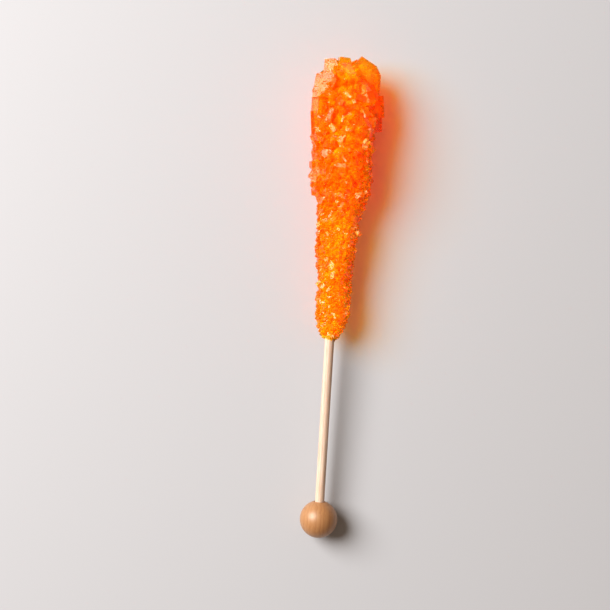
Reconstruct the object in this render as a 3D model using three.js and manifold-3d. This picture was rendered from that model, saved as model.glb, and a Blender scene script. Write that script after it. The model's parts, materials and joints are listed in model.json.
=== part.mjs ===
// Rock candy stick, lying on its side.
//
// A straight birch dowel ends in a turned wooden ball. Orange sugar crystals have grown round the
// upper part of the dowel: a slim foot of fine grains next to the bare wood, widening to a blunt
// crown of large blocks. It rests on the flattened tips of its lowest crystals and on the ball.
//
// Units are millimetres and +Z is up. The dowel runs along Y with the ball at the -Y end. The origin
// is at the middle of the footprint, on the surface that the stick lies on.

import * as THREE from 'three';
import { mergeVertices } from 'three/addons/utils/BufferGeometryUtils.js';
import Module from 'manifold-3d';

// ---- Driving dimensions ----

const BALL_DIAMETER = 12.9;
const DOWEL_DIAMETER = 3.2;
const DOWEL_SIDES = 20;
const BARE_DOWEL = 56; // wood that shows between the ball and the candy
const CANDY_LENGTH = 96;
const FIT_GAP = 0.3; // clearance between the dowel and the two pieces that it is set in
const BALL_BORE_DEPTH = 9;
const COUNTERSINK = 0.35; // at the mouth of the ball's bore
const CROWN_COVER = 14; // candy beyond the hidden end of the dowel
const BALL_FLAT = 0.12; // how much of the ball the resting surface takes off
const REST_STATION = 80; // where along the candy it touches the resting surface
const REST_RADIUS = 11.4; // distance from the dowel's axis to the resting surface there

// Radius over the crystal tips, as [distance from the candy's foot, radius].
const OUTLINE = [
  [0, 2.7], [3, 4.6], [8, 6.2], [18, 6.2], [30, 6.9], [40, 7.3], [46, 8.3],
  [54, 10.7], [64, 11.0], [76, 11.6], [85, 11.6], [90, 10.0],
];

// Slow swells of that radius: height as a share of the radius, waves round the candy, and millimetres
// along it for each radian that a wave turns.
const SWELLS = [
  { height: 0.06, waves: 1, pitch: 1000 },
  { height: 0.05, waves: 2, pitch: 9 },
  { height: 0.05, waves: 3, pitch: -5 },
];

// Width of a typical crystal, as [distance from the candy's foot, width].
const GRAIN = [[0, 1.2], [30, 1.7], [50, 2.3], [64, 3.2], [76, 4.8], [90, 6]];

// ---- Growth rule of the crystals ----

const SEED = 4242;
const GOLDEN_ANGLE = Math.PI * (3 - Math.sqrt(5));
const COVERING = 0.7; // surface that one crystal takes, as a share of its typical width squared
const CROWN_EDGE = 88; // above this the blocks of CROWN take over from the spiral
const ALL_KEPT = 5.6; // every crystal from this typical width up is modelled
const THINNING = 2; // and fewer the finer they are, by this power of the width

// Ranges that the crystals are drawn from.
const SPREAD = {
  width: [0.7, 1.3], // in typical widths
  thickness: [0.6, 1], // in own widths
  length: [1.5, 2.2], // in own widths
  astray: [-0.25, 0.25], // off the spiral, in radians
  upward: [-0.4, 0.7], // lean along the candy, as a slope
  aside: [-0.55, 0.55], // lean round the candy, as a slope
  spin: [0, 2 * Math.PI], // about its own length
  sunk: [0.05, 0.5], // below the outline, in typical widths
};

// The solid core that the crystals stand on.
const CORE_TOP = 92; // the crown's blocks reach on above it
const CORE_DEPTH = 0.48; // below the outline, in typical widths
const LEAST_CORE = 2.5; // least radius
const LUMP = 0.55; // range that its corners are shifted in, in typical widths

// The large blocks of the crown. tip is the middle of a block's outer end: across, along the candy
// and up from the dowel's axis. lean is how far the block tips away from the dowel's direction, and
// towards is the direction in which it leans, from up (0) over right (90). size is its width,
// thickness and length, spin turns it about its length, and habit is how its outer end is cut.
// Angles are in degrees.
const CROWN = [
  { tip: [8.2, 94.1, 1.4], lean: 30, towards: 88, size: [8.2, 7.4, 14], spin: 4, habit: 'block' },
  { tip: [8.5, 93.0, -0.6], lean: 5, towards: 280, size: [5.8, 6.6, 12], spin: 10, habit: 'roof' },
  { tip: [-0.4, 95.4, 2.0], lean: 4, towards: 60, size: [4.6, 5.4, 12], spin: 8, habit: 'block' },
  { tip: [-4.5, 94.6, 0.8], lean: 8, towards: 205, size: [4.8, 5.0, 11], spin: -16, habit: 'block' },
  { tip: [-5.9, 89.2, 4.8], lean: 9, towards: 212, size: [7.2, 6.0, 8], spin: -14, habit: 'block' },
  { tip: [-7.4, 83.4, 5.4], lean: 10, towards: 300, size: [5.6, 5.6, 7.6], spin: 24, habit: 'roof' },
  { tip: [-7.6, 77.4, 4.8], lean: 14, towards: 290, size: [5.4, 5.6, 8], spin: -34, habit: 'wedge' },
  { tip: [-7.8, 88.4, -2.6], lean: 20, towards: 262, size: [6.4, 7.0, 12], spin: 22, habit: 'roof' },
  { tip: [2.8, 91.6, 8.4], lean: 40, towards: 10, size: [7.6, 6.6, 12], spin: 24, habit: 'wedge' },
  { tip: [13.2, 79.8, -0.4], lean: 84, towards: 94, size: [6.6, 7.4, 12], spin: 96, habit: 'block' },
  { tip: [13.2, 74.4, 0.8], lean: 86, towards: 86, size: [6.2, 6.0, 11], spin: 82, habit: 'roof' },
  { tip: [10.6, 84.2, 4.2], lean: 66, towards: 74, size: [6.6, 6.0, 12], spin: 74, habit: 'roof' },
  { tip: [-10.2, 79.0, 1.4], lean: 84, towards: 275, size: [6.6, 5.6, 11], spin: 78, habit: 'block' },
  { tip: [2.4, 94.6, -4.4], lean: 22, towards: 168, size: [6.4, 5.6, 12], spin: 40, habit: 'roof' },
  { tip: [-5.4, 91.4, -6.6], lean: 40, towards: 222, size: [6.2, 5.4, 12], spin: 66, habit: 'wedge' },
  { tip: [7.6, 90.4, -6.4], lean: 46, towards: 132, size: [6.6, 5.8, 12], spin: 15, habit: 'block' },
  { tip: [0.8, 88.0, -10.2], lean: 70, towards: 182, size: [6.6, 5.4, 10], spin: 33, habit: 'roof' },
];

// ---- Derived sizes ----

const BALL_RADIUS = BALL_DIAMETER / 2;
const DOWEL_RADIUS = DOWEL_DIAMETER / 2;
const BORE_RADIUS = DOWEL_RADIUS + FIT_GAP;
const CANDY_FOOT = BALL_RADIUS + BARE_DOWEL; // distance of the candy's foot from the ball's centre
const DOWEL_START = BALL_RADIUS - BALL_BORE_DEPTH + FIT_GAP;
const DOWEL_END = CANDY_FOOT + CANDY_LENGTH - CROWN_COVER;
const BALL_HEIGHT = BALL_RADIUS - BALL_FLAT; // height of the ball's centre
const TILT = Math.asin((REST_RADIUS - BALL_HEIGHT) / (CANDY_FOOT + REST_STATION));

// ---- Small helpers ----

// Value at x on a line through [x, y] points, level past its ends.
function along(points, x) {
  const next = points.findIndex(([px]) => px > x);
  if (next === 0) return points[0][1];
  if (next < 0) return points.at(-1)[1];
  const [[x0, y0], [x1, y1]] = [points[next - 1], points[next]];
  return y0 + ((y1 - y0) * (x - x0)) / (x1 - x0);
}

// Seeded stream of numbers from 0 to 1 (the Lehmer generator).
function numberStream(seed) {
  const MULTIPLIER = 48271;
  const MODULUS = 2147483647;
  let state = seed;
  return () => {
    state = (state * MULTIPLIER) % MODULUS;
    return state / MODULUS;
  };
}

// Unit vector square to the dowel: up at angle 0, right (+X) at a quarter turn.
function sideways(angle) {
  return new THREE.Vector3(Math.sin(angle), 0, Math.cos(angle));
}

// Radius over the crystal tips at one place on the candy, swells included.
function reach(station, around) {
  const swollen = SWELLS.reduce(
    (sum, { height, waves, pitch }) => sum + height * Math.sin(waves * around + station / pitch),
    1,
  );
  return along(OUTLINE, station) * swollen;
}

// ---- Solids: three.js geometry joined and cut by manifold-3d ----

const wasm = await Module();
wasm.setup();

function toSolid(geometry, matrix = new THREE.Matrix4()) {
  const bare = geometry.clone().applyMatrix4(matrix);
  bare.deleteAttribute('normal');
  bare.deleteAttribute('uv');
  const merged = mergeVertices(bare, 1e-5);
  return new wasm.Manifold(new wasm.Mesh({
    numProp: 3,
    vertProperties: merged.attributes.position.array,
    triVerts: new Uint32Array(merged.index.array),
  }));
}

function toGeometry(solid) {
  const mesh = solid.getMesh();
  const geometry = new THREE.BufferGeometry();
  geometry.setAttribute('position', new THREE.BufferAttribute(mesh.vertProperties, 3));
  geometry.setIndex(new THREE.BufferAttribute(mesh.triVerts, 1));
  geometry.computeVertexNormals();
  return geometry;
}

// The largest body of a solid, with what joining sealed off inside it filled.
function soundBody(solid) {
  return solid.decompose().reduce((best, body) => (body.volume() > best.volume() ? body : best));
}

// ---- Crystals ----

// Outer end of a crystal with corners cut off at its left and right, each [across, down].
function crystalOutline([leftAcross, leftDown], [rightAcross, rightDown]) {
  const outline = new THREE.Shape();
  outline.moveTo(-0.5, -1);
  outline.lineTo(0.5, -1);
  outline.lineTo(0.5, -rightDown);
  outline.lineTo(0.5 - rightAcross, 0);
  outline.lineTo(-0.5 + leftAcross, 0);
  if (leftAcross > 0) outline.lineTo(-0.5, -leftDown);
  return outline;
}

// Unit crystals, one wide, one thick and one long, with the middle of the outer end at the origin.
function unitCrystal(leftCut, rightCut) {
  const outline = crystalOutline(leftCut, rightCut);
  return new THREE.ExtrudeGeometry(outline, { depth: 1, bevelEnabled: false }).translate(0, 0, -0.5);
}

const HABITS = {
  block: unitCrystal([0, 0], [0.26, 0.2]),
  roof: unitCrystal([0.34, 0.2], [0.3, 0.26]),
  wedge: unitCrystal([0, 0], [0.62, 0.36]),
};

// Leaning angle of the faces of a sugar crystal, which isn't quite square.
const SKEW = Math.tan(THREE.MathUtils.degToRad(13));

// Places a unit crystal: tip is the middle of its outer end, and it points outwards along direction.
function crystalMatrix({ tip, direction, size, spin }) {
  const [width, thickness, length] = size;
  const turn = new THREE.Quaternion().setFromUnitVectors(new THREE.Vector3(0, 1, 0), direction);
  turn.multiply(new THREE.Quaternion().setFromAxisAngle(new THREE.Vector3(0, 1, 0), spin));
  const skew = new THREE.Matrix4().makeShear(0, 0, SKEW, 0, 0, 0);
  return new THREE.Matrix4()
    .compose(tip, turn, new THREE.Vector3(width, length, thickness))
    .multiply(skew);
}

// The crystals that cover the candy, laid on a spiral from the crown down to the foot. Each takes
// the same draws in the same order, so that leaving one out doesn't move the others.
function grownCrystals() {
  const draw = numberStream(SEED);
  const between = ([low, high]) => low + (high - low) * draw();
  const habits = Object.keys(HABITS);
  const crystals = [];
  let station = CROWN_EDGE;
  for (let n = 0; station > 0; n++) {
    const grain = along(GRAIN, station);
    const width = grain * between(SPREAD.width);
    const thickness = width * between(SPREAD.thickness);
    const length = width * between(SPREAD.length);
    const around = n * GOLDEN_ANGLE + between(SPREAD.astray);
    const direction = sideways(around)
      .addScaledVector(new THREE.Vector3(0, 1, 0), between(SPREAD.upward))
      .addScaledVector(sideways(around + Math.PI / 2), between(SPREAD.aside))
      .normalize();
    const spin = between(SPREAD.spin);
    const sunk = grain * between(SPREAD.sunk);
    const habit = habits[Math.floor(habits.length * draw())];
    const radius = reach(station, around);
    const tip = sideways(around).multiplyScalar(radius - sunk).setY(station);
    crystals.push({ tip, direction, size: [width, thickness, length], spin, habit, grain });
    station -= (COVERING * grain ** 2) / (2 * Math.PI * radius);
  }
  return crystals;
}

// Whether the nth crystal is modelled: all the large ones, and a share of the finer ones.
function isKept({ grain }, n) {
  return n % Math.max(1, Math.round((ALL_KEPT / grain) ** THINNING)) === 0;
}

function crownBlocks() {
  return CROWN.map(({ tip, lean, towards, size, spin, habit }) => {
    const tipping = THREE.MathUtils.degToRad(lean);
    const direction = sideways(THREE.MathUtils.degToRad(towards))
      .multiplyScalar(Math.sin(tipping))
      .add(new THREE.Vector3(0, Math.cos(tipping), 0));
    return {
      tip: new THREE.Vector3(...tip), direction, size, spin: THREE.MathUtils.degToRad(spin), habit,
    };
  });
}

// ---- The three pieces, each along Y with the ball's centre at the origin ----

// Half-space above the resting surface, seen from the tilted stick, as one large block.
function roomAboveRest() {
  const SPAN = 400;
  const room = new THREE.BoxGeometry(SPAN, SPAN, SPAN).translate(0, 0, SPAN / 2);
  const intoStick = new THREE.Matrix4().makeRotationX(-TILT)
    .multiply(new THREE.Matrix4().makeTranslation(0, 0, -BALL_HEIGHT));
  return toSolid(room, intoStick);
}

// The solid core, as rings of corners a typical crystal apart, each shifted to make it lumpy.
function candyCore() {
  const SIDES = 20;
  const profile = [new THREE.Vector2(0, 0)];
  for (let station = 0; station < CORE_TOP; station += along(GRAIN, station)) {
    profile.push(new THREE.Vector2(LEAST_CORE, station));
  }
  profile.push(new THREE.Vector2(0, CORE_TOP));
  const rings = new THREE.LatheGeometry(profile, SIDES);
  rings.deleteAttribute('normal');
  rings.deleteAttribute('uv');
  const core = mergeVertices(rings);
  const draw = numberStream(SEED + 1);
  const shift = () => LUMP * (draw() - 0.5);
  const corners = core.attributes.position;
  for (let n = 0; n < corners.count; n++) {
    const corner = new THREE.Vector3().fromBufferAttribute(corners, n);
    const isOnAxis = Math.hypot(corner.x, corner.z) < LEAST_CORE / 2;
    if (isOnAxis) continue;
    const grain = along(GRAIN, corner.y);
    const around = Math.atan2(corner.x, corner.z) + shift() * (2 * Math.PI / SIDES);
    const station = Math.max(0, corner.y + grain * shift());
    const radius = reach(station, around) - grain * (CORE_DEPTH + shift());
    const place = sideways(around).multiplyScalar(Math.max(LEAST_CORE, radius));
    corners.setXYZ(n, place.x, station, place.z);
  }
  return toSolid(core);
}

function candy() {
  const crystals = [...crownBlocks(), ...grownCrystals().filter(isKept)];
  const grown = crystals.reduce(
    (solid, crystal) => solid.add(toSolid(HABITS[crystal.habit], crystalMatrix(crystal))),
    candyCore(),
  ).translate([0, CANDY_FOOT, 0]);
  const boreLength = DOWEL_END + FIT_GAP - BALL_RADIUS;
  const bore = new THREE.CylinderGeometry(BORE_RADIUS, BORE_RADIUS, boreLength, DOWEL_SIDES)
    .translate(0, BALL_RADIUS + boreLength / 2, 0);
  const shaped = grown.intersect(roomAboveRest()).subtract(toSolid(bore));
  const material = new THREE.MeshStandardMaterial({
    color: 0xff7c0a, roughness: 0.25, metalness: 0, flatShading: true,
  });
  return new THREE.Mesh(toGeometry(soundBody(shaped)), material);
}

function dowel() {
  const length = DOWEL_END - DOWEL_START;
  const geometry = new THREE.CylinderGeometry(DOWEL_RADIUS, DOWEL_RADIUS, length, DOWEL_SIDES)
    .translate(0, DOWEL_START + length / 2, 0);
  const material = new THREE.MeshStandardMaterial({ color: 0xe9d3b6, roughness: 0.8, metalness: 0 });
  return new THREE.Mesh(geometry, material);
}

// A sphere with a blind bore for the dowel, whose mouth is slightly countersunk.
function ball() {
  const SIDES = 32;
  const ARC_STEPS = 16;
  const mouthRadius = BORE_RADIUS + COUNTERSINK;
  const mouthAngle = Math.asin(mouthRadius / BALL_RADIUS);
  const mouthHeight = BALL_RADIUS * Math.cos(mouthAngle);
  const profile = [];
  for (let step = 0; step <= ARC_STEPS; step++) {
    const angle = Math.PI - ((Math.PI - mouthAngle) * step) / ARC_STEPS;
    profile.push(new THREE.Vector2(BALL_RADIUS * Math.sin(angle), BALL_RADIUS * Math.cos(angle)));
  }
  profile[0].x = 0;
  profile.push(new THREE.Vector2(BORE_RADIUS, mouthHeight - COUNTERSINK));
  profile.push(new THREE.Vector2(BORE_RADIUS, BALL_RADIUS - BALL_BORE_DEPTH));
  profile.push(new THREE.Vector2(0, BALL_RADIUS - BALL_BORE_DEPTH));
  const turned = toSolid(new THREE.LatheGeometry(profile, SIDES));
  const material = new THREE.MeshStandardMaterial({ color: 0xcd9257, roughness: 0.35, metalness: 0 });
  return new THREE.Mesh(toGeometry(turned.intersect(roomAboveRest())), material);
}

// ---- The whole stick, laid down ----

const pieces = { candy: candy(), dowel: dowel(), ball: ball() };
const stick = new THREE.Group();
for (const [name, mesh] of Object.entries(pieces)) {
  mesh.name = name;
  stick.add(mesh);
}
stick.rotation.x = TILT;
stick.position.z = BALL_HEIGHT;

const rockCandyStick = new THREE.Group();
rockCandyStick.add(stick);
const footprint = new THREE.Box3().setFromObject(rockCandyStick, true);
const middle = footprint.getCenter(new THREE.Vector3());
stick.position.x -= middle.x;
stick.position.y -= middle.y;

export default rockCandyStick;
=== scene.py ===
"""Dresses the rock candy stick: clear crystals over packed sugar, a birch dowel and a lacquered ball.

Every piece is shaped in the stick's own frame, in millimetres from the ball's centre: x across, y along
the dowel towards the candy, and z away from the surface that the stick lies on.
"""

from __future__ import annotations

import json
import logging
import math
from abc import ABC, abstractmethod
from collections.abc import Iterable, Iterator
from dataclasses import dataclass, replace
from enum import Enum

import bmesh
import bpy
from bmesh.types import BMesh
from bpy.types import Collection, Material, Node, NodeInputs, NodeOutputs, NodeSocket, NodeTree, Object
from mathutils import Matrix, Quaternion, Vector, noise

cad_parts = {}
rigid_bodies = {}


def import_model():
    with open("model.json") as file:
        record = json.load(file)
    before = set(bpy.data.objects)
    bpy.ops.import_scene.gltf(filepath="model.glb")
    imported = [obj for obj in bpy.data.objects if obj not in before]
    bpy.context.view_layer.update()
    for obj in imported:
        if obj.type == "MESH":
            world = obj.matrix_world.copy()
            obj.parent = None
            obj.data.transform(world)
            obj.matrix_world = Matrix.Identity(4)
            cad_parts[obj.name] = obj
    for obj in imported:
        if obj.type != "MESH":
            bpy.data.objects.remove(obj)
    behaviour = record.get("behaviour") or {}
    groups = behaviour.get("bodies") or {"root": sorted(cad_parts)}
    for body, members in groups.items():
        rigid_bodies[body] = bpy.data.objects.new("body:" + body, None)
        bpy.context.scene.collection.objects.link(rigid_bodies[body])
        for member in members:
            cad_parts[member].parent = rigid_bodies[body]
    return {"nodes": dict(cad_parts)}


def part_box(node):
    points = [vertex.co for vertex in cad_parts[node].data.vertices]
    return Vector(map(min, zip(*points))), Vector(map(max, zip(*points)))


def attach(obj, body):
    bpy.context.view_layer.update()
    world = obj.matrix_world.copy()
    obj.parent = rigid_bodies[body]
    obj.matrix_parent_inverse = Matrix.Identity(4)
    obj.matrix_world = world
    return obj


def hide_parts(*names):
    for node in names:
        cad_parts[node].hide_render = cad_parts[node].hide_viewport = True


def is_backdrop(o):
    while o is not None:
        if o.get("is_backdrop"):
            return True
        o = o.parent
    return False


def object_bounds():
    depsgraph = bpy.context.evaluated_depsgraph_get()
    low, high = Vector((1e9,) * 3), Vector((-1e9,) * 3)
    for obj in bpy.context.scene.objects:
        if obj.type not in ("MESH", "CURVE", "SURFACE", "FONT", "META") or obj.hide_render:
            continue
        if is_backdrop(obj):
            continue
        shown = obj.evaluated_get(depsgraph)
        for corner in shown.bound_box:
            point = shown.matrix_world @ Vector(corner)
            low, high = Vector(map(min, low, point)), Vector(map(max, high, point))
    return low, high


LOG = logging.getLogger("rock_candy")

MM = 0.001
AXIS = Vector((0.0, 1.0, 0.0))
UP = Vector((0.0, 0.0, 1.0))
RGB = tuple[float, float, float]

# The candy's foot is where the bare dowel ends.
BALL_RADIUS = 6.45
BARE_DOWEL = 56.0
FOOT = BALL_RADIUS + BARE_DOWEL


# ---- Helpers ----


class NumberStream:
    """Seeded stream of numbers from 0 to 1, by the Lehmer generator."""

    MULTIPLIER = 48271
    MODULUS = 2147483647

    def __init__(self, seed: int) -> None:
        """Starts the stream at any whole number from 1 up to the modulus."""
        self.state = seed

    def draw(self) -> float:
        """Returns the next number."""
        self.state = (self.state * self.MULTIPLIER) % self.MODULUS
        return self.state / self.MODULUS

    def between(self, spread: tuple[float, float]) -> float:
        """Returns the next number, stretched over a range from its low to its high end."""
        low, high = spread
        return low + (high - low) * self.draw()


@dataclass(frozen=True)
class Profile:
    """A size that changes along the candy by straight lines, level past its ends."""

    points: tuple[tuple[float, float], ...]

    def at(self, station: float) -> float:
        """Returns the size at one place.

        Args:
            station: The distance from the candy's foot, in millimetres.

        Returns:
            The size there.
        """
        if station <= self.points[0][0]:
            return self.points[0][1]
        for (near, low), (far, high) in zip(self.points, self.points[1:]):
            if station < far:
                return low + (high - low) * (station - near) / (far - near)
        return self.points[-1][1]

    def times(self, share: Profile) -> Profile:
        """Returns this profile scaled by another one at each of its own points."""
        return Profile(tuple((station, size * share.at(station)) for station, size in self.points))


def sideways(around: float) -> Vector:
    """Returns the unit vector at an angle round the dowel: up at 0, and +X at a quarter turn."""
    return Vector((math.sin(around), 0.0, math.cos(around)))


def opaque(color: RGB) -> tuple[float, float, float, float]:
    """Returns a linear colour with full alpha."""
    return (*color, 1.0)


def blended(low: RGB, high: RGB, share: float) -> RGB:
    """Returns the colour that lies a share of the way from one colour to another."""
    return tuple(a + (b - a) * share for a, b in zip(low, high))


def trim(shape: BMesh, point: Vector, outward: Vector) -> None:
    """Cuts away what lies outward of a plane and closes the cut.

    Args:
        shape: The closed mesh to cut.
        point: A point on the plane.
        outward: The plane's normal, towards what goes.
    """
    bmesh.ops.bisect_plane(
        shape, geom=shape.verts[:] + shape.edges[:] + shape.faces[:],
        plane_co=point, plane_no=outward, clear_outer=True,
    )
    rim = [edge for edge in shape.edges if edge.is_boundary]
    if rim:
        bmesh.ops.holes_fill(shape, edges=rim)


def drop_voids(shape: BMesh) -> None:
    """Deletes the bubbles and slivers that a fusing leaves, and keeps the surface with the most faces.

    Args:
        shape: The fused mesh.
    """
    seen = set()
    surfaces = []
    for start in shape.faces:
        if start in seen:
            continue
        seen.add(start)
        surface = [start]
        for face in surface:
            for edge in face.edges:
                fresh = [other for other in edge.link_faces if other not in seen]
                seen.update(fresh)
                surface += fresh
        surfaces.append(surface)
    surfaces.sort(key=len)
    strays = [face for surface in surfaces[:-1] for face in surface]
    bmesh.ops.delete(shape, geom=strays, context="FACES")


def turned(outline: Iterable[tuple[float, float]], sides: int) -> BMesh:
    """Turns an outline round the dowel's axis to a closed shape.

    Args:
        outline: Points as radius and place along the axis, from one end on the axis to the other.
        sides: Facets round the axis.

    Returns:
        The shape, with its faces pointing out.
    """
    shape = bmesh.new()
    verts = [shape.verts.new((radius, along, 0.0)) for radius, along in outline]
    edges = [shape.edges.new(pair) for pair in zip(verts, verts[1:])]
    bmesh.ops.spin(
        shape, geom=verts + edges, axis=AXIS, cent=(0.0, 0.0, 0.0), angle=2 * math.pi, steps=sides,
        use_merge=True,
    )
    bmesh.ops.remove_doubles(shape, verts=shape.verts[:], dist=MM)
    bmesh.ops.recalc_face_normals(shape, faces=shape.faces[:])
    return shape


@dataclass(frozen=True)
class StickFrame:
    """Where the stick lies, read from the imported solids."""

    ball_centre: Vector
    along: Vector

    @classmethod
    def from_solids(cls, nodes: dict[str, Object]) -> StickFrame:
        """Finds the dowel's direction and the ball's centre.

        Args:
            nodes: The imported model's objects by name.

        Returns:
            The frame of the stick.
        """
        corners = [vert.co for vert in nodes["dowel"].data.vertices]
        middle = sum(corner.y for corner in corners) / len(corners)
        ends = []
        for end in ([c for c in corners if c.y < middle], [c for c in corners if c.y > middle]):
            ends.append(sum(end, Vector()) / len(end))
        low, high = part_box("ball")
        radius = (high.x - low.x) / 2
        along = (ends[1] - ends[0]).normalized()
        reach = (low.y + radius - ends[0].y) / along.y
        return cls(ball_centre=ends[0] + along * reach, along=along)

    def to_world(self) -> Matrix:
        """Returns the matrix that takes millimetres in the stick's frame to the row frame."""
        turn = AXIS.rotation_difference(self.along).to_matrix().to_4x4()
        return Matrix.Translation(self.ball_centre) @ turn @ Matrix.Scale(MM, 4)

    def rest(self, shape: BMesh) -> None:
        """Cuts a shape off flat where it would sink into the resting surface.

        Args:
            shape: The shape, in the stick's frame.
        """
        to_stick = self.to_world().inverted()
        point = to_stick @ Vector((self.ball_centre.x, self.ball_centre.y, 0.0))
        down = (to_stick.to_3x3() @ -UP).normalized()
        if any((vert.co - point).dot(down) > 0 for vert in shape.verts):
            trim(shape, point, down)


@dataclass(frozen=True)
class Dressing:
    """Makes finished pieces of shapes in the stick's frame.

    On a smooth piece, edges that turn by more than sharp_edge stay sharp.
    """

    frame: StickFrame
    sharp_edge: float = math.radians(30)

    def add(self, name: str, shape: BMesh, node: str, slot: str,
            material: Material, smooth: bool) -> None:
        """Makes an object of a shape, puts it on the stick, lets it ride there and gives it its finish.

        Args:
            name: The piece's name.
            shape: Its mesh, in millimetres in the stick's frame. It is freed.
            node: The CAD node that the piece stands for.
            slot: The record's material slot. Not used.
            material: Its finish.
            smooth: Whether its faces are shaded as one round surface.
        """
        self.frame.rest(shape)
        shape.transform(self.frame.to_world())
        mesh = bpy.data.meshes.new(name)
        shape.to_mesh(mesh)
        shape.free()
        if smooth:
            mesh.shade_smooth()
            mesh.set_sharp_from_angle(angle=self.sharp_edge)
        else:
            mesh.shade_flat()
        mesh.materials.append(material)
        piece = bpy.data.objects.new(name, mesh)
        bpy.context.scene.collection.objects.link(piece)
        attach(piece, "root")
        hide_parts(node)
        LOG.info("%s: %d faces", name, len(mesh.polygons))


# ---- Effects that more than one finish uses ----


class NodeSheet:
    """A node tree, with a short way to add a node and join it up."""

    def __init__(self, tree: NodeTree) -> None:
        """Takes the node tree of a material or group, to add to."""
        self.tree = tree

    def add(self, kind: str, inputs: dict[str | int, object] | None = None,
            **settings: object) -> Node:
        """Adds one node.

        Args:
            kind: The node's type, without its ShaderNode prefix.
            inputs: Values or sockets for its inputs, by name or number.
            settings: The node's own properties.

        Returns:
            The new node.
        """
        node = self.tree.nodes.new(f"ShaderNode{kind}")
        for name, value in settings.items():
            setattr(node, name, value)
        for name, value in (inputs or {}).items():
            self.join(value, node.inputs[name])
        return node

    def calculate(self, operation: str, *values: object) -> NodeSocket:
        """Returns the result of a Math node on values or sockets."""
        return self.add("Math", dict(enumerate(values)), operation=operation).outputs["Value"]

    def noise(self, place: NodeSocket, scale: float, detail: float,
              roughness: float = 0.5) -> NodeSocket:
        """Returns the noise at a place."""
        inputs = {"Vector": place, "Scale": scale, "Detail": detail, "Roughness": roughness}
        return self.add("TexNoise", inputs).outputs["Fac"]

    def join(self, value: object, socket: NodeSocket) -> None:
        """Links a socket to another, or sets it.

        Args:
            value: The other node's output, or a plain value.
            socket: The input to fill.
        """
        if isinstance(value, NodeSocket):
            self.tree.links.new(value, socket)
        else:
            socket.default_value = value


class Effect(ABC):
    """A node group that is built once and placed in each material with values of its own.

    INPUTS and OUTPUTS are the kinds of its sockets, by name.
    """

    NAME: str
    INPUTS: dict[str, str]
    OUTPUTS: dict[str, str]

    @abstractmethod
    def fill(self, sheet: NodeSheet, given: NodeOutputs, result: NodeInputs) -> None:
        """Fills the group.

        Args:
            sheet: The group's node sheet.
            given: What comes into the group.
            result: What goes out of it.
        """

    def group(self) -> NodeTree:
        """Finds the node group, or builds it the first time.

        Returns:
            The node group.
        """
        tree = bpy.data.node_groups.get(self.NAME)
        if tree:
            return tree
        tree = bpy.data.node_groups.new(self.NAME, "ShaderNodeTree")
        for in_out, sockets in (("INPUT", self.INPUTS), ("OUTPUT", self.OUTPUTS)):
            for name, kind in sockets.items():
                tree.interface.new_socket(name, in_out=in_out, socket_type=f"NodeSocket{kind}")
        given = tree.nodes.new("NodeGroupInput").outputs
        result = tree.nodes.new("NodeGroupOutput").inputs
        self.fill(NodeSheet(tree), given, result)
        return tree

    def place(self, sheet: NodeSheet, inputs: dict[str, object]) -> Node:
        """Adds the group to a material.

        Args:
            sheet: The material's node sheet.
            inputs: Values or sockets for its inputs, by name.

        Returns:
            The group node.
        """
        node = sheet.tree.nodes.new("ShaderNodeGroup")
        node.node_tree = self.group()
        for name, value in inputs.items():
            sheet.join(value, node.inputs[name])
        return node


@dataclass(frozen=True)
class GrowthSteps(Effect):
    """What crystal faces show up close: fine growth steps, shallow ripples and frosted patches.

    Scales count waves a metre, weights are heights beside the ripples' own, and frost starts and is
    full at two heights of the patches.
    """

    NAME = "growth_steps"
    INPUTS = {"Coordinates": "Vector", "Spacing": "Float"}
    OUTPUTS = {"Height": "Float", "Frost": "Float"}

    ripple_scale: float = 420.0
    ripple_detail: float = 3.0
    steps_run: tuple[float, float, float] = (1.0, 0.35, 0.6)
    steps_bend: float = 6.0
    step_weight: float = 0.35
    patch_scale: float = 1000.0
    patch_detail: float = 4.0
    patch_weight: float = 0.9
    frost_from: float = 0.46
    frost_full: float = 0.6

    def fill(self, sheet: NodeSheet, given: NodeOutputs, result: NodeInputs) -> None:
        """Fills the group.

        Args:
            sheet: The group's node sheet.
            given: The coordinates, in metres, and the steps' spacing.
            result: The height and the frosted share.
        """
        coords = given["Coordinates"]
        ripples = sheet.noise(coords, self.ripple_scale, self.ripple_detail)
        across = sheet.add("VectorMath", {0: coords, 1: self.steps_run}, operation="DOT_PRODUCT")
        phase = sheet.calculate("DIVIDE", across.outputs["Value"], given["Spacing"])
        bent = sheet.calculate("MULTIPLY_ADD", ripples, self.steps_bend, phase)
        steps = sheet.calculate("FRACT", bent)
        patches = sheet.noise(coords, self.patch_scale, self.patch_detail)
        stepped = sheet.calculate("MULTIPLY_ADD", steps, self.step_weight, ripples)
        height = sheet.calculate("MULTIPLY_ADD", patches, self.patch_weight, stepped)
        frost = sheet.add("MapRange", {
            "Value": patches, "From Min": self.frost_from, "From Max": self.frost_full,
        })
        sheet.join(height, result["Height"])
        sheet.join(frost.outputs["Result"], result["Frost"])


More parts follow.
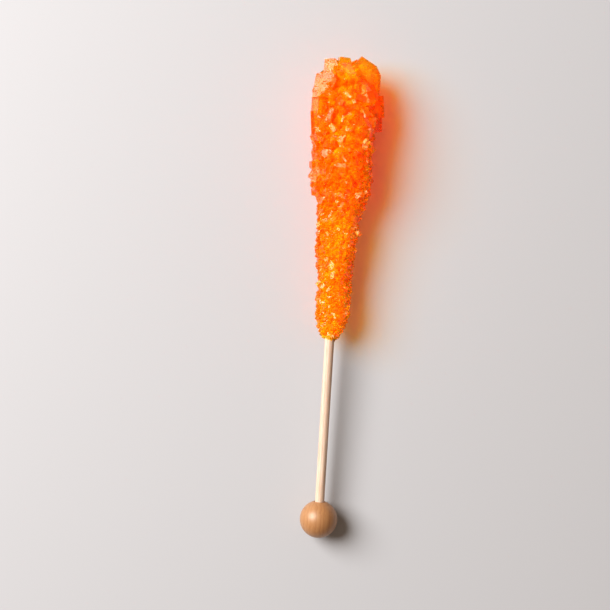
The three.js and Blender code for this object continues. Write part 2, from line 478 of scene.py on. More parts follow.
@dataclass(frozen=True)
class WoodFigure(Effect):
    """Growth rings and fibres, with the fibres along Y.

    Scales count waves a metre across the fibres. The wood is dark where late wood and fibres add up to
    dark_full.
    """

    NAME = "wood_figure"
    INPUTS = {"Coordinates": "Vector", "Rings": "Float", "Light": "Color", "Dark": "Color"}
    OUTPUTS = {"Color": "Color", "Height": "Float"}
    MIX_LIGHT = 6
    MIX_DARK = 7
    MIX_RESULT = 2

    drawn_out: tuple[float, float, float] = (1.0, 0.05, 1.0)
    waver_scale: float = 160.0
    waver_detail: float = 2.0
    waver_bend: float = 5.0
    fibre_scale: float = 3000.0
    fibre_detail: float = 3.0
    fibre_roughness: float = 0.6
    late_sharpness: float = 3.0
    late_weight: float = 0.45
    dark_from: float = 0.3
    dark_full: float = 1.0

    def fill(self, sheet: NodeSheet, given: NodeOutputs, result: NodeInputs) -> None:
        """Fills the group.

        Args:
            sheet: The group's node sheet.
            given: The coordinates, in metres, the rings' spacing and the wood's two colours.
            result: The colour, and the fibres' height.
        """
        stretched = sheet.add("Mapping", {"Vector": given["Coordinates"], "Scale": self.drawn_out})
        along = stretched.outputs["Vector"]
        waver = sheet.noise(along, self.waver_scale, self.waver_detail)
        fibres = sheet.noise(along, self.fibre_scale, self.fibre_detail, self.fibre_roughness)
        spread = sheet.add("SeparateXYZ", {"Vector": given["Coordinates"]})
        phase = sheet.calculate("DIVIDE", spread.outputs["X"], given["Rings"])
        bent = sheet.calculate("MULTIPLY_ADD", waver, self.waver_bend, phase)
        ring = sheet.calculate("FRACT", bent)
        late = sheet.calculate("POWER", ring, self.late_sharpness)
        shade = sheet.calculate("MULTIPLY_ADD", late, self.late_weight, fibres)
        depth = sheet.add("MapRange", {
            "Value": shade, "From Min": self.dark_from, "From Max": self.dark_full,
        })
        color = sheet.add("Mix", {
            0: depth.outputs["Result"],
            self.MIX_LIGHT: given["Light"],
            self.MIX_DARK: given["Dark"],
        }, data_type="RGBA")
        sheet.join(color.outputs[self.MIX_RESULT], result["Color"])
        sheet.join(fibres, result["Height"])


def new_material(name: str) -> tuple[Material, NodeSheet, Node]:
    """Makes an empty node material.

    Args:
        name: The material's name.

    Returns:
        The material, its node sheet and its output node.
    """
    material = bpy.data.materials.new(name)
    material.use_nodes = True
    material.node_tree.nodes.clear()
    sheet = NodeSheet(material.node_tree)
    return material, sheet, sheet.add("OutputMaterial")


# ---- Finishes ----


@dataclass(frozen=True)
class Sugar:
    """Orange sugar: a share of the light goes straight through, and the rest scatters inside.

    shadow_tint is what each skin that a lamp's light crosses leaves of it, gloss is the strength of its
    reflections, and a density of 0 leaves out the dye that deepens with thickness.
    """

    TINT = "tint"

    name: str
    transmission: float
    scatter: RGB
    scatter_reach: float
    roughness: float
    gloss: float
    shadow_tint: RGB
    frosted_roughness: float = 0.3
    specular_tint: RGB = (0.85, 0.56, 0.44)
    dye: RGB = (1.0, 0.875, 0.0)
    density: float = 0.0
    step_spacing: float = 0.0007
    step_depth: float = 0.00016
    ior: float = 1.54

    def build(self) -> Material:
        """Makes the material, which reads each crystal's own tint from the mesh.

        Returns:
            The material.
        """
        material, sheet, output = new_material(self.name)
        tint = sheet.add("Attribute", attribute_name=self.TINT)
        coords = sheet.add("TexCoord")
        steps = GrowthSteps().place(sheet, {
            "Coordinates": coords.outputs["Object"], "Spacing": self.step_spacing,
        })
        bump = sheet.add("Bump", {"Height": steps.outputs["Height"], "Distance": self.step_depth})
        roughness = sheet.add("MapRange", {
            "Value": steps.outputs["Frost"], "To Min": self.roughness, "To Max": self.frosted_roughness,
        })
        sugar = sheet.add("BsdfPrincipled", {
            "Base Color": tint.outputs["Color"],
            "Roughness": roughness.outputs["Result"],
            "IOR": self.ior,
            "Transmission Weight": self.transmission,
            "Subsurface Weight": 1.0,
            "Subsurface Radius": self.scatter,
            "Subsurface Scale": self.scatter_reach,
            "Specular IOR Level": self.gloss,
            "Specular Tint": opaque(self.specular_tint),
            "Normal": bump.outputs["Normal"],
        })
        ray = sheet.add("LightPath")
        passing = sheet.add("BsdfTransparent", {"Color": opaque(self.shadow_tint)})
        surface = sheet.add("MixShader", {
            0: ray.outputs["Is Shadow Ray"], 1: sugar.outputs["BSDF"], 2: passing.outputs["BSDF"],
        })
        sheet.join(surface.outputs["Shader"], output.inputs["Surface"])
        if self.density > 0:
            depth = sheet.add("VolumeAbsorption", {"Color": opaque(self.dye), "Density": self.density})
            sheet.join(depth.outputs["Volume"], output.inputs["Volume"])
        return material


@dataclass(frozen=True)
class TurnedWood:
    """Birch with its fibres along the dowel, bare or under lacquer.

    light and dark are its early and late wood, and rings is the spacing of its growth rings. lacquer
    is the share of the surface under lacquer, and softness the share of the light that spreads in the
    wood before it comes out.
    """

    name: str
    light: RGB
    dark: RGB
    rings: float
    roughness: float
    lacquer: float
    softness: float
    lacquer_roughness: float = 0.38
    lacquer_tint: RGB = (1.0, 0.92, 0.8)
    scatter: RGB = (1.0, 0.7, 0.5)
    scatter_reach: float = 0.001
    fibre_depth: float = 0.00006

    def build(self, frame: StickFrame) -> Material:
        """Makes the material.

        Args:
            frame: Where the stick lies, for the fibres' direction.

        Returns:
            The material.
        """
        material, sheet, output = new_material(self.name)
        coords = sheet.add("TexCoord")
        centred = sheet.add("Mapping", {
            "Vector": coords.outputs["Object"],
            "Location": frame.ball_centre,
            "Rotation": frame.to_world().to_euler(),
        }, vector_type="TEXTURE")
        figure = WoodFigure().place(sheet, {
            "Coordinates": centred.outputs["Vector"], "Rings": self.rings,
            "Light": opaque(self.light), "Dark": opaque(self.dark),
        })
        bump = sheet.add("Bump", {"Height": figure.outputs["Height"], "Distance": self.fibre_depth})
        wood = sheet.add("BsdfPrincipled", {
            "Base Color": figure.outputs["Color"],
            "Roughness": self.roughness,
            "Coat Weight": self.lacquer,
            "Coat Roughness": self.lacquer_roughness,
            "Coat Tint": opaque(self.lacquer_tint),
            "Subsurface Weight": self.softness,
            "Subsurface Radius": self.scatter,
            "Subsurface Scale": self.scatter_reach,
            "Normal": bump.outputs["Normal"],
        })
        sheet.join(wood.outputs["BSDF"], output.inputs["Surface"])
        return material


# ---- Candy ----


@dataclass(frozen=True)
class Swell:
    """One slow wave of the candy's radius.

    height is a share of the radius, waves counts round the candy, and pitch is the millimetres along it
    for each radian that the wave turns.
    """

    height: float
    waves: int
    pitch: float


@dataclass(frozen=True)
class CandyForm:
    """The candy's outline over its crystal tips and the width of a typical crystal along it.

    The core lies core_depth grains under the tips, give or take a lump, and its radius is never less
    than least_core.
    """

    foot: float = FOOT
    outline: Profile = Profile((
        (0, 2.7), (3, 4.6), (8, 6.2), (18, 6.2), (30, 6.9), (40, 7.3), (46, 8.3),
        (54, 10.7), (64, 11.0), (76, 11.6), (85, 11.6), (90, 10.0),
    ))
    grain: Profile = Profile(((0, 1.5), (30, 2.2), (50, 2.6), (64, 3.2), (76, 4.8), (90, 6)))
    swells: tuple[Swell, ...] = (Swell(0.06, 1, 1000), Swell(0.05, 2, 9), Swell(0.05, 3, -5))
    core_end: float = 0.0
    core_top: float = 92.0
    core_depth: float = 0.62
    core_sides: int = 40
    least_core: float = 2.3
    lump: tuple[float, float] = (-0.2, 0.2)

    def reach(self, station: float, around: float) -> float:
        """Finds the radius over the crystal tips at one place.

        Args:
            station: Distance from the candy's foot.
            around: Angle round the dowel.

        Returns:
            The radius there.
        """
        heights = (
            swell.height * math.sin(swell.waves * around + station / swell.pitch)
            for swell in self.swells
        )
        return self.outline.at(station) * (1 + sum(heights))

    def core(self, seed: int) -> BMesh:
        """Makes the lumpy core that the crystals stand on.

        Args:
            seed: Starts the numbers that shift its corners.

        Returns:
            The closed shape, in the stick's frame.
        """
        stations = [self.core_end]
        while stations[-1] < self.core_top:
            stations.append(stations[-1] + self.grain.at(stations[-1]) / 2)
        wall = [(self.least_core, station) for station in stations]
        shape = turned([(0.0, stations[0]), *wall, (0.0, stations[-1])], self.core_sides)
        stream = NumberStream(seed)
        for vert in shape.verts:
            if math.hypot(vert.co.x, vert.co.z) > self.least_core / 2:
                around = math.atan2(vert.co.x, vert.co.z)
                depth = self.grain.at(vert.co.y) * (self.core_depth + stream.between(self.lump))
                radius = max(self.least_core, self.reach(vert.co.y, around) - depth)
                vert.co = sideways(around) * radius + AXIS * vert.co.y
        bmesh.ops.translate(shape, verts=shape.verts[:], vec=AXIS * self.foot)
        return shape


class Habit(Enum):
    """The ways a crystal's outer end is cut: how far across and down at its left and right corner."""

    BLOCK = ((0.0, 0.0), (0.26, 0.2))
    ROOF = ((0.34, 0.2), (0.3, 0.26))
    WEDGE = ((0.0, 0.0), (0.62, 0.36))

    def template(self) -> BMesh:
        """Makes a unit crystal.

        Returns:
            The closed shape, with the middle of its outer end at the origin and its length down Y.
        """
        shape = bmesh.new()
        bmesh.ops.create_cube(shape, size=1.0, matrix=Matrix.Translation((0.0, -0.5, 0.0)))
        for side, (across, down) in zip((-1, 1), self.value):
            if across > 0:
                corner = Vector((side * 0.5, -down, 0.0))
                trim(shape, corner, outward=Vector((side * down, across, 0.0)))
        return shape


@dataclass(frozen=True)
class Crystal:
    """One crystal: where its outer end is, where it points, and its width, thickness and length.

    depth is how deep its orange is, from 0 to 1.
    """

    tip: Vector
    direction: Vector
    size: tuple[float, float, float]
    spin: float
    habit: Habit
    depth: float

    SKEW = math.tan(math.radians(13))

    def matrix(self) -> Matrix:
        """Works out how a unit crystal gets to its place.

        Returns:
            The matrix that takes it there.
        """
        width, thickness, length = self.size
        turn = AXIS.rotation_difference(self.direction) @ Quaternion(AXIS, self.spin)
        skew = Matrix.Identity(4)
        skew[0][1] = self.SKEW
        return Matrix.LocRotScale(self.tip, turn, Vector((width, length, thickness))) @ skew


@dataclass(frozen=True)
class DyeAndPaintedLightSpot:
    """A patch on the upper side painted deeper orange, or paler if depth is below 0: some are dye, some
    painted shade and some painted highlights.
    """

    across: float
    station: float
    radius: float
    depth: float

    def change(self, tip: Vector) -> float:
        """Returns what the spot adds at a crystal's tip, which fades out at the spot's rim."""
        away = math.hypot(tip.x - self.across, tip.y - self.station) / self.radius
        return self.depth * max(0.0, 1.0 - away**2)


@dataclass(frozen=True)
class DyeAndPaintedLight:
    """How deep the orange is over the candy: by its place, in slow clouds, by chance, and with painted
    shade and highlights.

    The sides' term is painted light: from side_width on, the right side, which lies in shade, is painted
    paler in full and the lit left side deeper, which evens out the shading across the candy.
    """

    along: Profile = Profile((
        (0, 0.5), (22, 0.55), (40, 0.68), (52, 0.78), (80, 0.75), (88, 0.55), (96, 0.4),
    ))
    # Painted light: (8.5, 76) and (6.5, 63) are painted shade on the crown's shaded right, and the pale
    # (-4, 71), (-0.5, 23) and (-3, 13) are painted highlights where glints show; the rest are patches of
    # dye.
    dye_and_light_spots: tuple[DyeAndPaintedLightSpot, ...] = (
        DyeAndPaintedLightSpot(-7.5, 74, 4.5, 0.4), DyeAndPaintedLightSpot(8.5, 76, 7, 0.3), DyeAndPaintedLightSpot(6.5, 63, 4, 0.3),
        DyeAndPaintedLightSpot(-9, 53, 3, 0.4), DyeAndPaintedLightSpot(-4, 71, 1.6, -0.8), DyeAndPaintedLightSpot(-0.5, 23, 2.2, -0.6),
        DyeAndPaintedLightSpot(-3, 13, 2.5, -0.5), DyeAndPaintedLightSpot(8, 90, 5, -0.4), DyeAndPaintedLightSpot(-1, 40, 4, -0.25),
    )
    painted_light_across: float = -0.5
    side_width: float = 9.0
    cloud_size: float = 9.0
    cloud_depth: float = 0.25
    chance: tuple[float, float] = (-0.1, 0.1)

    def depth(self, tip: Vector, stream: NumberStream) -> float:
        """Finds the depth at a crystal's tip.

        Args:
            tip: The tip, from the candy's foot.
            stream: The numbers to draw chance from.

        Returns:
            The depth, from 0 to 1.
        """
        value = self.along.at(tip.y) + stream.between(self.chance)
        value += self.cloud_depth * noise.noise(tip / self.cloud_size)
        # Painted light: the shaded right side is painted paler and the lit left side deeper.
        value += self.painted_light_across * max(-1.0, min(1.0, tip.x / self.side_width))
        # Painted light: the spots add painted shade and painted highlights among patches of dye.
        if tip.z > 0:
            value += sum(spot.change(tip) for spot in self.dye_and_light_spots)
        return max(0.0, min(1.0, value))


@dataclass(frozen=True)
class Palette:
    """The colours of sugar with little dye, with some and with most."""

    pale: RGB
    middle: RGB
    deep: RGB

    def at(self, depth: float) -> RGB:
        """Finds the colour at a depth of dye.

        Args:
            depth: That depth, from 0 to 1.

        Returns:
            The colour.
        """
        if depth < 0.5:
            return blended(self.pale, self.middle, depth * 2)
        return blended(self.middle, self.deep, depth * 2 - 1)


@dataclass(frozen=True)
class CrystalSpread:
    """Ranges that grown crystals are drawn from.

    Width and sunk are shares of the grain, and thickness and length are shares of the width. astray is
    added to a crystal's angle round the dowel, and upward and aside to the direction that it points in.
    """

    width: tuple[float, float] = (0.7, 1.3)
    thickness: tuple[float, float] = (0.6, 1.0)
    length: tuple[float, float] = (1.5, 2.2)
    astray: tuple[float, float] = (-0.25, 0.25)
    upward: tuple[float, float] = (-0.4, 0.7)
    aside: tuple[float, float] = (-0.55, 0.55)
    spin: tuple[float, float] = (0.0, 2 * math.pi)
    sunk: tuple[float, float] = (0.05, 0.5)


@dataclass(frozen=True)
class Spiral:
    """A layer of crystals laid on a spiral from the crown down towards the foot.

    The surface has one crystal for each covering squares of the grain, and fineness scales the grain.
    """

    seed: int
    form: CandyForm
    # dye sets the orange's depth, and also paints the shaded side paler and adds painted shade and
    # highlights.
    dye: DyeAndPaintedLight
    spread: CrystalSpread = CrystalSpread()
    start: float = 88.0
    end: float = 0.0
    covering: float = 0.7
    fineness: float = 1.0

    GOLDEN_ANGLE = math.pi * (3 - math.sqrt(5))

    def grow(self) -> Iterator[Crystal]:
        """Grows the layer, each crystal by the same draws in the same order.

        Yields:
            The crystals, from the crown down.
        """
        stream = NumberStream(self.seed)
        chance = NumberStream(self.seed + 1)
        spread = self.spread
        station = self.start
        count = 0
        while station > self.end:
            grain = self.form.grain.at(station) * self.fineness
            width = grain * stream.between(spread.width)
            thickness = width * stream.between(spread.thickness)
            length = width * stream.between(spread.length)
            around = count * self.GOLDEN_ANGLE + stream.between(spread.astray)
            direction = sideways(around) + AXIS * stream.between(spread.upward)
            direction += sideways(around + math.pi / 2) * stream.between(spread.aside)
            spin = stream.between(spread.spin)
            sunk = grain * stream.between(spread.sunk)
            habit = list(Habit)[math.floor(len(Habit) * stream.draw())]
            radius = self.form.reach(station, around)
            tip = sideways(around) * (radius - sunk) + AXIS * station
            size = (width, thickness, length)
            yield Crystal(tip, direction.normalized(), size, spin, habit, self.dye.depth(tip, chance))
            station -= self.covering * grain**2 / (2 * math.pi * radius)
            count += 1


@dataclass(frozen=True)
class CrownBlock:
    """A large block of the crown.

    tip is the middle of its outer end, lean the degrees that it tips away from the dowel's direction,
    towards the direction it leans in, from up (0) over right (90), and spin turns it about its length.
    depth is how deep its orange is, from 0 to 1.
    """

    tip: tuple[float, float, float]
    lean: float
    towards: float
    size: tuple[float, float, float]
    spin: float
    habit: Habit
    depth: float

    def crystal(self, inset: float = 0.0, share: float = 1.0) -> Crystal:
        """Makes a crystal of the block.

        Args:
            inset: How far its tip is drawn back into the block.
            share: Its width and thickness, as a share of the block's.

        Returns:
            The crystal.
        """
        tipping = math.radians(self.lean)
        direction = sideways(math.radians(self.towards)) * math.sin(tipping) + AXIS * math.cos(tipping)
        tip = Vector(self.tip)
        width, thickness, length = self.size
        return Crystal(
            tip - direction * inset, direction, (width * share, thickness * share, length - inset),
            math.radians(self.spin), self.habit, self.depth,
        )


CROWN = (
    CrownBlock((8.2, 94.1, 1.4), 30, 88, (8.2, 7.4, 14), 4, Habit.BLOCK, 0.35),
    CrownBlock((8.5, 93.0, -0.6), 5, 280, (5.8, 6.6, 12), 10, Habit.ROOF, 0.5),
    CrownBlock((-0.4, 95.4, 2.0), 4, 60, (4.6, 5.4, 12), 8, Habit.BLOCK, 0.3),
    CrownBlock((-4.5, 94.6, 0.8), 8, 205, (4.8, 5.0, 11), -16, Habit.BLOCK, 1.0),
    CrownBlock((-5.9, 89.2, 4.8), 9, 212, (7.2, 6.0, 8), -14, Habit.BLOCK, 1.0),
    CrownBlock((-7.4, 83.4, 5.4), 10, 300, (5.6, 5.6, 7.6), 24, Habit.ROOF, 0.8),
    CrownBlock((-7.6, 77.4, 4.8), 14, 290, (5.4, 5.6, 8), -34, Habit.WEDGE, 1.0),
    CrownBlock((-7.8, 88.4, -2.6), 20, 262, (6.4, 7.0, 12), 22, Habit.ROOF, 0.8),
    CrownBlock((2.8, 91.6, 8.4), 40, 10, (7.6, 6.6, 12), 24, Habit.WEDGE, 0.35),
    CrownBlock((13.2, 79.8, -0.4), 84, 94, (6.6, 7.4, 12), 96, Habit.BLOCK, 0.9),
    CrownBlock((13.2, 74.4, 0.8), 86, 86, (6.2, 6.0, 11), 82, Habit.ROOF, 0.9),
    CrownBlock((10.6, 84.2, 4.2), 66, 74, (6.6, 6.0, 12), 74, Habit.ROOF, 0.9),
    CrownBlock((-10.2, 79.0, 1.4), 84, 275, (6.6, 5.6, 11), 78, Habit.BLOCK, 0.8),
    CrownBlock((2.4, 94.6, -4.4), 22, 168, (6.4, 5.6, 12), 40, Habit.ROOF, 0.4),
    CrownBlock((-5.4, 91.4, -6.6), 40, 222, (6.2, 5.4, 12), 66, Habit.WEDGE, 0.5),
    CrownBlock((7.6, 90.4, -6.4), 46, 132, (6.6, 5.8, 12), 15, Habit.BLOCK, 0.5),
    CrownBlock((0.8, 88.0, -10.2), 70, 182, (6.6, 5.4, 10), 33, Habit.ROOF, 0.6),
)


@dataclass(frozen=True)
class Glint:
    """A flat crystal end that faces so that it shines.

    across and station place it on the side that lies uppermost, and spin turns it about its length.
    """

    across: float
    station: float
    width: float
    thickness: float
    spin: float

    FACING = Vector((-0.36, 0.16, 0.92)).normalized()
    LENGTH = 3.0
    PROUD = 0.2
    # Painted highlight: the glints take the palest orange, so their shining facets read cream.
    PAINTED_HIGHLIGHT_DEPTH = 0.0

    def crystal(self, form: CandyForm) -> Crystal:
        """Sets the crystal in the candy, with its end just proud of the outline.

        Args:
            form: The candy's form.

        Returns:
            The crystal.
        """
        around = math.asin(self.across / form.outline.at(self.station))
        tip = sideways(around) * (form.reach(self.station, around) + self.PROUD) + AXIS * self.station
        size = (self.width, self.thickness, self.LENGTH)
        return Crystal(tip, self.FACING, size, math.radians(self.spin), Habit.BLOCK, self.PAINTED_HIGHLIGHT_DEPTH)


GLINTS = (
    Glint(-0.8, 25.1, 2.0, 2.6, 10), Glint(-0.2, 21.9, 1.6, 2.0, -20), Glint(-5.0, 19.0, 2.6, 1.0, 25),
    Glint(-3.1, 18.0, 2.4, 1.0, 30), Glint(-1.4, 16.8, 2.0, 0.9, 30), Glint(-2.7, 12.2, 1.2, 1.0, 0),
    Glint(-0.9, 11.1, 1.4, 0.8, 40), Glint(1.0, 8.0, 0.9, 2.2, 0), Glint(-3.0, 4.2, 0.8, 1.6, 20),
    Glint(-5.8, 38.5, 1.8, 1.3, 0), Glint(6.4, 36.6, 1.5, 1.2, 15), Glint(0.6, 37.4, 1.4, 1.1, 50),
    Glint(-3.0, 35.6, 1.1, 1.4, 10), Glint(-0.5, 46.6, 1.2, 1.2, 45), Glint(1.0, 60.8, 0.8, 2.2, 15),
    Glint(6.8, 67.4, 2.2, 1.0, 35), Glint(-3.4, 71.2, 2.0, 3.0, 24), Glint(-8.2, 70.2, 1.2, 1.6, 0),
    Glint(-0.3, 74.1, 0.9, 2.2, -30), Glint(0.9, 82.3, 1.2, 3.0, 30), Glint(3.1, 80.3, 1.6, 1.6, 0),
)


@dataclass
class CrystalCluster:
    """Crystals fused with each other and with what they grow on to one skin."""

    name: str
    palette: Palette
    foot: float

    OWNER = "owner"

    def fused(self, crystals: Iterable[Crystal], core: BMesh) -> BMesh:
        """Joins crystals and core to one closed skin, with a tint on each crystal's faces.

        Args:
            crystals: The crystals, with stations from the candy's foot.
            core: The body they stand on. It is freed.

        Returns:
            The skin, in the stick's frame.
        """
        templates = {habit: habit.template() for habit in Habit}
        shards = bpy.data.collections.new(self.name)
        tints = [opaque(self.palette.middle)]
        body = self.operand(core, 0)
        for crystal in crystals:
            shard = templates[crystal.habit].copy()
            shard.transform(Matrix.Translation(AXIS * self.foot) @ crystal.matrix())
            shards.objects.link(self.operand(shard, len(tints)))
            tints.append(opaque(self.palette.at(crystal.depth)))
        for template in templates.values():
            template.free()
        skin = self.union(body, shards)
        self.paint(skin, tints)
        return skin

    def operand(self, shape: BMesh, number: int) -> Object:
        """Makes an object of a shape, with a number on its faces that outlives the joining.

        Args:
            shape: The shape. It is freed.
            number: The number.

        Returns:
            The object, in no collection.
        """
        owner = shape.faces.layers.int.new(self.OWNER)
        for face in shape.faces:
            face[owner] = number
        mesh = bpy.data.meshes.new(self.name)
        shape.to_mesh(mesh)
        shape.free()
        return bpy.data.objects.new(self.name, mesh)

    def union(self, body: Object, shards: Collection) -> BMesh:
        """Fuses the core with the crystals, and removes the objects that they came in.

        Args:
            body: The core, in no collection.
            shards: The crystals.

        Returns:
            The fused mesh, as one closed surface.
        """
        bpy.context.scene.collection.objects.link(body)
        fusing = body.modifiers.new("union", "BOOLEAN")
        fusing.operation = "UNION"
        fusing.solver = "MANIFOLD"
        fusing.operand_type = "COLLECTION"
        fusing.collection = shards
        skin = bmesh.new()
        skin.from_object(body, bpy.context.evaluated_depsgraph_get())
        drop_voids(skin)
        for piece in [*shards.objects, body]:
            mesh = piece.data
            bpy.data.objects.remove(piece)
            bpy.data.meshes.remove(mesh)
        bpy.data.collections.remove(shards)
        return skin

    def paint(self, skin: BMesh, tints: list[tuple[float, float, float, float]]) -> None:
        """Gives each crystal's faces its tint.

        Args:
            skin: The fused mesh.
            tints: The tints, by the number on the faces.
        """
        owner = skin.faces.layers.int[self.OWNER]
        tint = skin.loops.layers.float_color.new(Sugar.TINT)
        for face in skin.faces:
            for corner in face.loops:
                corner[tint] = tints[face[owner]]
        skin.faces.layers.int.remove(owner)


@dataclass
class Candy:
    """The candy: packed sugar inside, clear crystals grown over it, and small ones that dust those.

    packed_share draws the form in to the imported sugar's, and packed_inset and packed_block do the same
    to the crown's blocks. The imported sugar's own foot is at packed_end.
    """

    dressing: Dressing
    form: CandyForm = CandyForm()
    # dye sets the orange's depth, and also paints the shaded side paler and adds painted shade and
    # highlights.
    dye: DyeAndPaintedLight = DyeAndPaintedLight()
    packed_palette: Palette = Palette((0.92, 0.5, 0.018), (0.92, 0.34, 0.007), (0.92, 0.205, 0.003))
    packed_share: Profile = Profile(((0, 0.8), (8, 0.75), (20, 0.78), (96, 0.82)))
    packed_end: float = 0.8
    packed_inset: float = 2.0
    packed_block: float = 0.66
    packed_fineness: float = 0.75
    packed_least_core: float = 1.9
    packed_seed: int = 4244
    packed_core_seed: int = 4247
    clear_palette: Palette = Palette((0.98, 0.74, 0.08), (0.98, 0.57, 0.022), (0.98, 0.415, 0.007))
    clear_seed: int = 4242
    clear_core_seed: int = 4243
    dusting_spread: CrystalSpread = CrystalSpread(sunk=(0.1, 0.7))
    dusting_covering: float = 4.0
    dusting_fineness: float = 0.62
    dusting_seed: int = 4248

    def packed_sugar(self) -> BMesh:
        """Makes the cloudy inside, with crystal faces of its own that show through the clear ones.

        Returns:
            The closed skin, in the stick's frame.
        """
        form = replace(
            self.form, outline=self.form.outline.times(self.packed_share), core_end=self.packed_end,
            core_top=self.form.core_top - self.packed_inset, least_core=self.packed_least_core,
        )
        layer = Spiral(
            self.packed_seed, form, self.dye, end=self.packed_end, fineness=self.packed_fineness,
        )
        blocks = [block.crystal(self.packed_inset, self.packed_block) for block in CROWN]
        cluster = CrystalCluster("packed_sugar", self.packed_palette, form.foot)
        return cluster.fused([*blocks, *layer.grow()], form.core(self.packed_core_seed))

    def clear_crystals(self) -> BMesh:
        """Makes the clear crystals, coarse at the crown and fine at the foot, dusted with small ones.

        Returns:
            The closed skin, in the stick's frame.
        """
        coarse = Spiral(self.clear_seed, self.form, self.dye)
        dusting = Spiral(
            self.dusting_seed, self.form, self.dye, self.dusting_spread,
            covering=self.dusting_covering, fineness=self.dusting_fineness,
        )
        blocks = [block.crystal() for block in CROWN]
        glints = [glint.crystal(self.form) for glint in GLINTS]
        cluster = CrystalCluster("sugar_crystals", self.clear_palette, self.form.foot)
        crystals = [*blocks, *glints, *coarse.grow(), *dusting.grow()]
        return cluster.fused(crystals, self.form.core(self.clear_core_seed))

    def build(self) -> None:
        """Makes the candy's two pieces."""
        packed = Sugar(
            "packed_sugar", transmission=0.0, scatter=(1.0, 0.5, 0.05), scatter_reach=0.01,
            roughness=0.3, gloss=0.0, shadow_tint=(0.88, 0.75, 0.54),
        )
        clear = Sugar(
            "clear_sugar", transmission=0.84, scatter=(1.0, 0.3, 0.05), scatter_reach=0.004,
            roughness=0.04, gloss=0.85, shadow_tint=(0.98, 0.96, 0.9), density=800.0,
        )
        self.dressing.add(
            "packed_sugar", self.packed_sugar(), "candy", "sugar_crystal",
            packed.build(), smooth=False,
        )
        self.dressing.add(
            "sugar_crystals", self.clear_crystals(), "candy", "sugar_crystal",
            clear.build(), smooth=False,
        )


# ---- Wood ----


@dataclass
class Handle:
    """The birch dowel and the ball on its end.

    end_gap is what the ball's bore leaves free under the dowel's end.
    """

    dressing: Dressing
    ball_radius: float = BALL_RADIUS
    ball_sides: int = 96
    dowel_radius: float = 1.6
    dowel_sides: int = 48
    dowel_in_candy: float = 82.0
    bore: float = 1.9
    bore_depth: float = 9.0
    countersink: float = 0.35
    end_gap: float = 0.3

    def ball(self) -> BMesh:
        """Turns the ball from its outline, with its bore and countersink.

        Returns:
            The closed shape, in the stick's frame.
        """
        mouth = math.asin((self.bore + self.countersink) / self.ball_radius)
        rim = self.ball_radius * math.cos(mouth)
        arc = self.ball_sides // 2
        angles = [math.pi - (math.pi - mouth) * step / arc for step in range(arc + 1)]
        outline = [
            (self.ball_radius * math.sin(angle), self.ball_radius * math.cos(angle)) for angle in angles
        ]
        floor = self.ball_radius - self.bore_depth
        outline += [(self.bore, rim - self.countersink), (self.bore, floor), (0.0, floor)]
        return turned(outline, self.ball_sides)

    def dowel(self) -> BMesh:
        """Turns the dowel, from inside the ball to its hidden end in the candy.

        Returns:
            The closed shape, in the stick's frame.
        """
        start = self.ball_radius - self.bore_depth + self.end_gap
        end = FOOT + self.dowel_in_candy
        outline = [(0.0, start), (self.dowel_radius, start), (self.dowel_radius, end), (0.0, end)]
        return turned(outline, self.dowel_sides)

    def build(self) -> None:
        """Makes the two pieces."""
        bare = TurnedWood(
            "bare_birch", light=(0.82, 0.66, 0.55), dark=(0.62, 0.44, 0.32), rings=0.0011,
            roughness=0.7, lacquer=0.0, softness=0.6,
        )
        lacquered = TurnedWood(
            "lacquered_birch", light=(0.5, 0.28, 0.14), dark=(0.38, 0.19, 0.085), rings=0.0016,
            roughness=0.55, lacquer=1.0, softness=0.0,
        )
        frame = self.dressing.frame
        self.dressing.add(
            "birch_dowel", self.dowel(), "dowel", "birch",
            bare.build(frame), smooth=True,
        )
        self.dressing.add(
            "turned_ball", self.ball(), "ball", "lacquered_birch",
            lacquered.build(frame), smooth=True,
        )


# ---- Studio ----


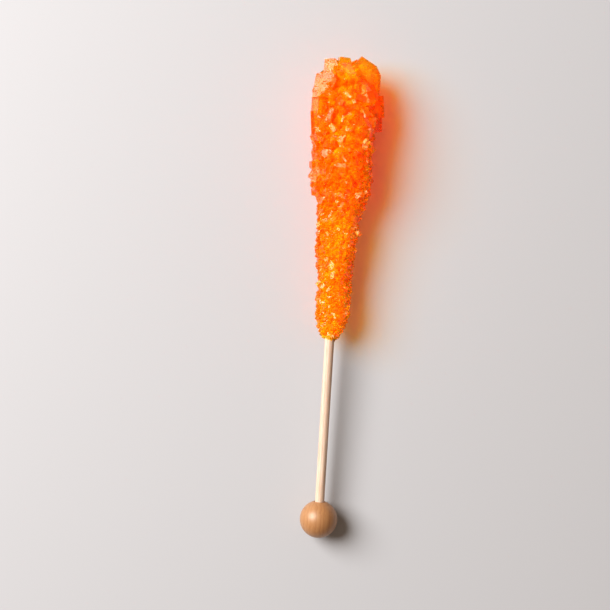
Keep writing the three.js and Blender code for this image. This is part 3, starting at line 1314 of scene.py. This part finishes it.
@dataclass
class Studio:
    """The pale floor, the soft light and the camera that looks straight down.

    Lengths are in metres, but ball_in_view, the ball's place from the middle of the view, is in
    millimetres. The stick leans to the right by lean, and lamp_heading starts at the view's right.
    """

    frame: StickFrame
    lean: float = math.radians(3.5)
    ball_in_view: tuple[float, float] = (4.66, -73.6)
    camera_height: float = 0.589
    lens: float = 100.0
    floor_size: float = 3.0
    floor_paint: RGB = (0.52, 0.53, 0.56)
    floor_roughness: float = 0.6
    lamp_off_vertical: float = math.radians(46)
    lamp_heading: float = math.radians(153)
    lamp_distance: float = 1.3
    lamp_size: float = 0.97
    lamp_power: float = 30.5
    lamp_color: RGB = (1.0, 0.97, 0.94)
    room_color: RGB = (1.0, 0.78, 0.6)
    room_light: float = 0.24
    exposure: float = -0.22
    bounces: int = 16
    transparent_bounces: int = 48

    def build(self) -> None:
        """Sets up the floor, the light, the room, the camera and the way that colours are shown."""
        self.build_floor()
        self.build_lamp()
        self.build_room()
        self.build_camera()
        scene = bpy.context.scene
        scene.view_settings.view_transform = "Standard"
        scene.view_settings.look = "Medium High Contrast"
        scene.view_settings.exposure = self.exposure
        scene.cycles.use_denoising = True
        scene.cycles.max_bounces = self.bounces
        scene.cycles.transmission_bounces = self.bounces
        scene.cycles.transparent_max_bounces = self.transparent_bounces
        LOG.info("studio set")

    def view_axes(self) -> tuple[Vector, Vector]:
        """Returns the view's right and up directions on the floor."""
        right = Vector((math.cos(self.lean), math.sin(self.lean), 0.0))
        return right, Vector((-right.y, right.x, 0.0))

    def build_floor(self) -> None:
        """Makes the pale floor."""
        shape = bmesh.new()
        bmesh.ops.create_grid(shape, x_segments=1, y_segments=1, size=self.floor_size)
        mesh = bpy.data.meshes.new("floor")
        shape.to_mesh(mesh)
        shape.free()
        material, sheet, output = new_material("pale_table")
        paint = sheet.add("BsdfPrincipled", {
            "Base Color": opaque(self.floor_paint), "Roughness": self.floor_roughness,
        })
        sheet.join(paint.outputs["BSDF"], output.inputs["Surface"])
        mesh.materials.append(material)
        floor = bpy.data.objects.new("floor", mesh)
        bpy.context.scene.collection.objects.link(floor)
        floor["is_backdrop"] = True

    def build_lamp(self) -> None:
        """Hangs one large soft light."""
        right, up = self.view_axes()
        flat = right * math.cos(self.lamp_heading) + up * math.sin(self.lamp_heading)
        direction = flat * math.sin(self.lamp_off_vertical) + UP * math.cos(self.lamp_off_vertical)
        light = bpy.data.lights.new("softbox", "AREA")
        light.shape = "DISK"
        light.size = self.lamp_size
        light.energy = self.lamp_power
        light.color = self.lamp_color
        lamp = bpy.data.objects.new("softbox", light)
        lamp.location = direction * self.lamp_distance
        lamp.rotation_mode = "QUATERNION"
        lamp.rotation_quaternion = direction.to_track_quat("Z", "Y")
        bpy.context.scene.collection.objects.link(lamp)

    def build_room(self) -> None:
        """Lights the shade with a pale surrounding."""
        world = bpy.data.worlds.new("room")
        world.use_nodes = True
        background = world.node_tree.nodes["Background"]
        background.inputs["Color"].default_value = opaque(self.room_color)
        background.inputs["Strength"].default_value = self.room_light
        bpy.context.scene.world = world

    def build_camera(self) -> None:
        """Puts the camera overhead, turned so that the stick leans a little to the right."""
        right, up = self.view_axes()
        across, above = self.ball_in_view
        aim = self.frame.ball_centre - right * across * MM - up * above * MM
        data = bpy.data.cameras.new("camera")
        data.lens = self.lens
        camera = bpy.data.objects.new("camera", data)
        camera.location = (aim.x, aim.y, self.camera_height)
        camera.rotation_euler = (0.0, 0.0, self.lean)
        bpy.context.scene.collection.objects.link(camera)
        bpy.context.scene.camera = camera


def main() -> None:
    """Builds the dressed stick and its studio, and measures the sizes of both models."""
    logging.basicConfig(level=logging.INFO, format="%(name)s %(message)s")
    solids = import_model()
    cad_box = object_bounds()
    frame = StickFrame.from_solids(solids["nodes"])
    dressing = Dressing(frame)
    Candy(dressing).build()
    Handle(dressing).build()
    Studio(frame).build()
    bpy.context.view_layer.update()
    boxes = {"cad": cad_box, "visual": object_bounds()}
    {name: [list(corner) for corner in box] for name, box in boxes.items()}


if __name__ == "__main__":
    main()
